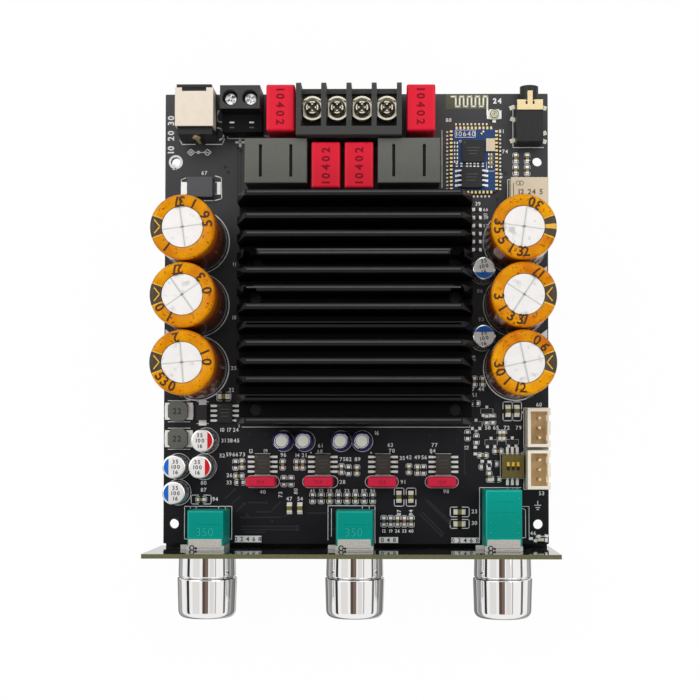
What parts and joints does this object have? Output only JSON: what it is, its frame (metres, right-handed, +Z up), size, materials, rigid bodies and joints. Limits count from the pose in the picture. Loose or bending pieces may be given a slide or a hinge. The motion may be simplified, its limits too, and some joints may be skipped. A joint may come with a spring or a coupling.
{
  "type": "audio amplifier board",
  "caption": "Stereo audio amplifier board with a finned heatsink, screw terminals, a wireless module and chrome treble, bass and volume knobs on a front panel",
  "frame": {"origin": "centre of the four mounting holes, on the board's underside", "axes": "+X to the right of someone facing the knobs' fronts from above with the knobs nearest, +Y from the knobs to the terminals, +Z up from the board's underside to its parts"},
  "size_m": [0.1015, 0.1364, 0.029],
  "materials": {
    "board_black": "matte solder mask with pale printed marks",
    "panel_black": "glossy black solder mask, bare fibre edge",
    "anodised_black": "black anodised, worn pale fin tips",
    "steel": "plated steel",
    "spacer_white": "plain moulded",
    "chip_black": "matte moulded, tinned leads",
    "pad_grey": "soft matte",
    "plastic_black": "satin moulded",
    "plastic_grey": "satin moulded",
    "tinned": "tinned sheet",
    "contact": "plated contact metal",
    "film_red": "satin moulded case",
    "ferrite_grey": "pressed powder, sealed",
    "sleeve_orange": "shrunk printed sleeve",
    "can_metal": "pale pressed can",
    "navy": "shrunk sleeve",
    "tone_red": "dipped case",
    "radio_blue": "blue solder mask",
    "cream": "plain moulded",
    "amber": "clear tape over a dark case",
    "slider_yellow": "plain moulded",
    "teal": "satin moulded",
    "die_cast": "plain cast and pressed metal",
    "chrome": "mirror plating",
    "lamp": "clear resin",
    "resistor": "glazed top, tinned ends",
    "ceramic_tan": "fired, tinned ends"
  },
  "bodies": {
    "board": {"main_board": "board_black", "front_panel": "panel_black", "heatsink": "anodised_black", "heatsink_screws": "steel", "heatsink_spacers": "spacer_white", "amplifier_chip": "chip_black", "thermal_pad": "pad_grey", "power_jack_housing": "plastic_black", "power_jack_shield": "tinned", "power_jack_pin": "contact", "power_terminal_body": "plastic_grey", "power_terminal_screws": "steel", "power_terminal_cages": "tinned", "speaker_terminal_body": "plastic_grey", "speaker_terminal_screws": "steel", "speaker_terminal_plates": "tinned", "film_capacitors": "film_red", "output_inductors": "ferrite_grey", "bulk_capacitor_cans": "can_metal", "bulk_sleeve_1": "sleeve_orange", "bulk_sleeve_2": "sleeve_orange", "bulk_sleeve_3": "sleeve_orange", "bulk_sleeve_4": "sleeve_orange", "bulk_sleeve_5": "sleeve_orange", "bulk_sleeve_6": "sleeve_orange", "small_can_tops": "can_metal", "small_can_bases": "plastic_black", "radial_capacitors": "navy", "tone_capacitors": "tone_red", "small_outline_chips": "chip_black", "supply_inductors": "ferrite_grey", "radio_board": "radio_blue", "radio_chips": "chip_black", "antenna_socket": "contact", "audio_jack_housing": "plastic_black", "audio_jack_bracket": "contact", "relay": "cream", "line_headers": "cream", "header_pins": "contact", "slide_switch_body": "amber", "treble_control": "teal", "bass_control": "teal", "volume_control": "teal", "control_bushings": "die_cast", "control_nuts": "steel", "power_lamp": "lamp", "chip_resistors": "resistor", "chip_capacitors": "ceramic_tan"},
    "treble_dial": {"treble_shaft": "steel", "treble_knob": "chrome"},
    "bass_dial": {"bass_shaft": "steel", "bass_knob": "chrome"},
    "volume_dial": {"volume_shaft": "steel", "volume_knob": "chrome"},
    "slider_1": {"switch_slider_1": "slider_yellow"},
    "slider_2": {"switch_slider_2": "slider_yellow"},
    "slider_3": {"switch_slider_3": "slider_yellow"}
  },
  "joints": [
    {"name": "treble_turn", "type": "hinge", "parent": "board", "child": "treble_dial", "pos_m": [-0.0375, -0.05495, 0.0086], "axis": [0, 1, 0], "range_deg": [-150, 150]},
    {"name": "bass_turn", "type": "hinge", "parent": "board", "child": "bass_dial", "pos_m": [0, -0.05495, 0.0086], "axis": [0, 1, 0], "range_deg": [-150, 150]},
    {"name": "volume_turn", "type": "hinge", "parent": "board", "child": "volume_dial", "pos_m": [0.0375, -0.05495, 0.0086], "axis": [0, 1, 0], "range_deg": [-150, 150]},
    {"name": "slider_1_slide", "type": "slide", "parent": "board", "child": "slider_1", "axis": [0, -1, 0], "range_m": [0, 0.001]},
    {"name": "slider_2_slide", "type": "slide", "parent": "board", "child": "slider_2", "axis": [0, -1, 0], "range_m": [0, 0.001]},
    {"name": "slider_3_slide", "type": "slide", "parent": "board", "child": "slider_3", "axis": [0, -1, 0], "range_m": [0, 0.001]}
  ]
}
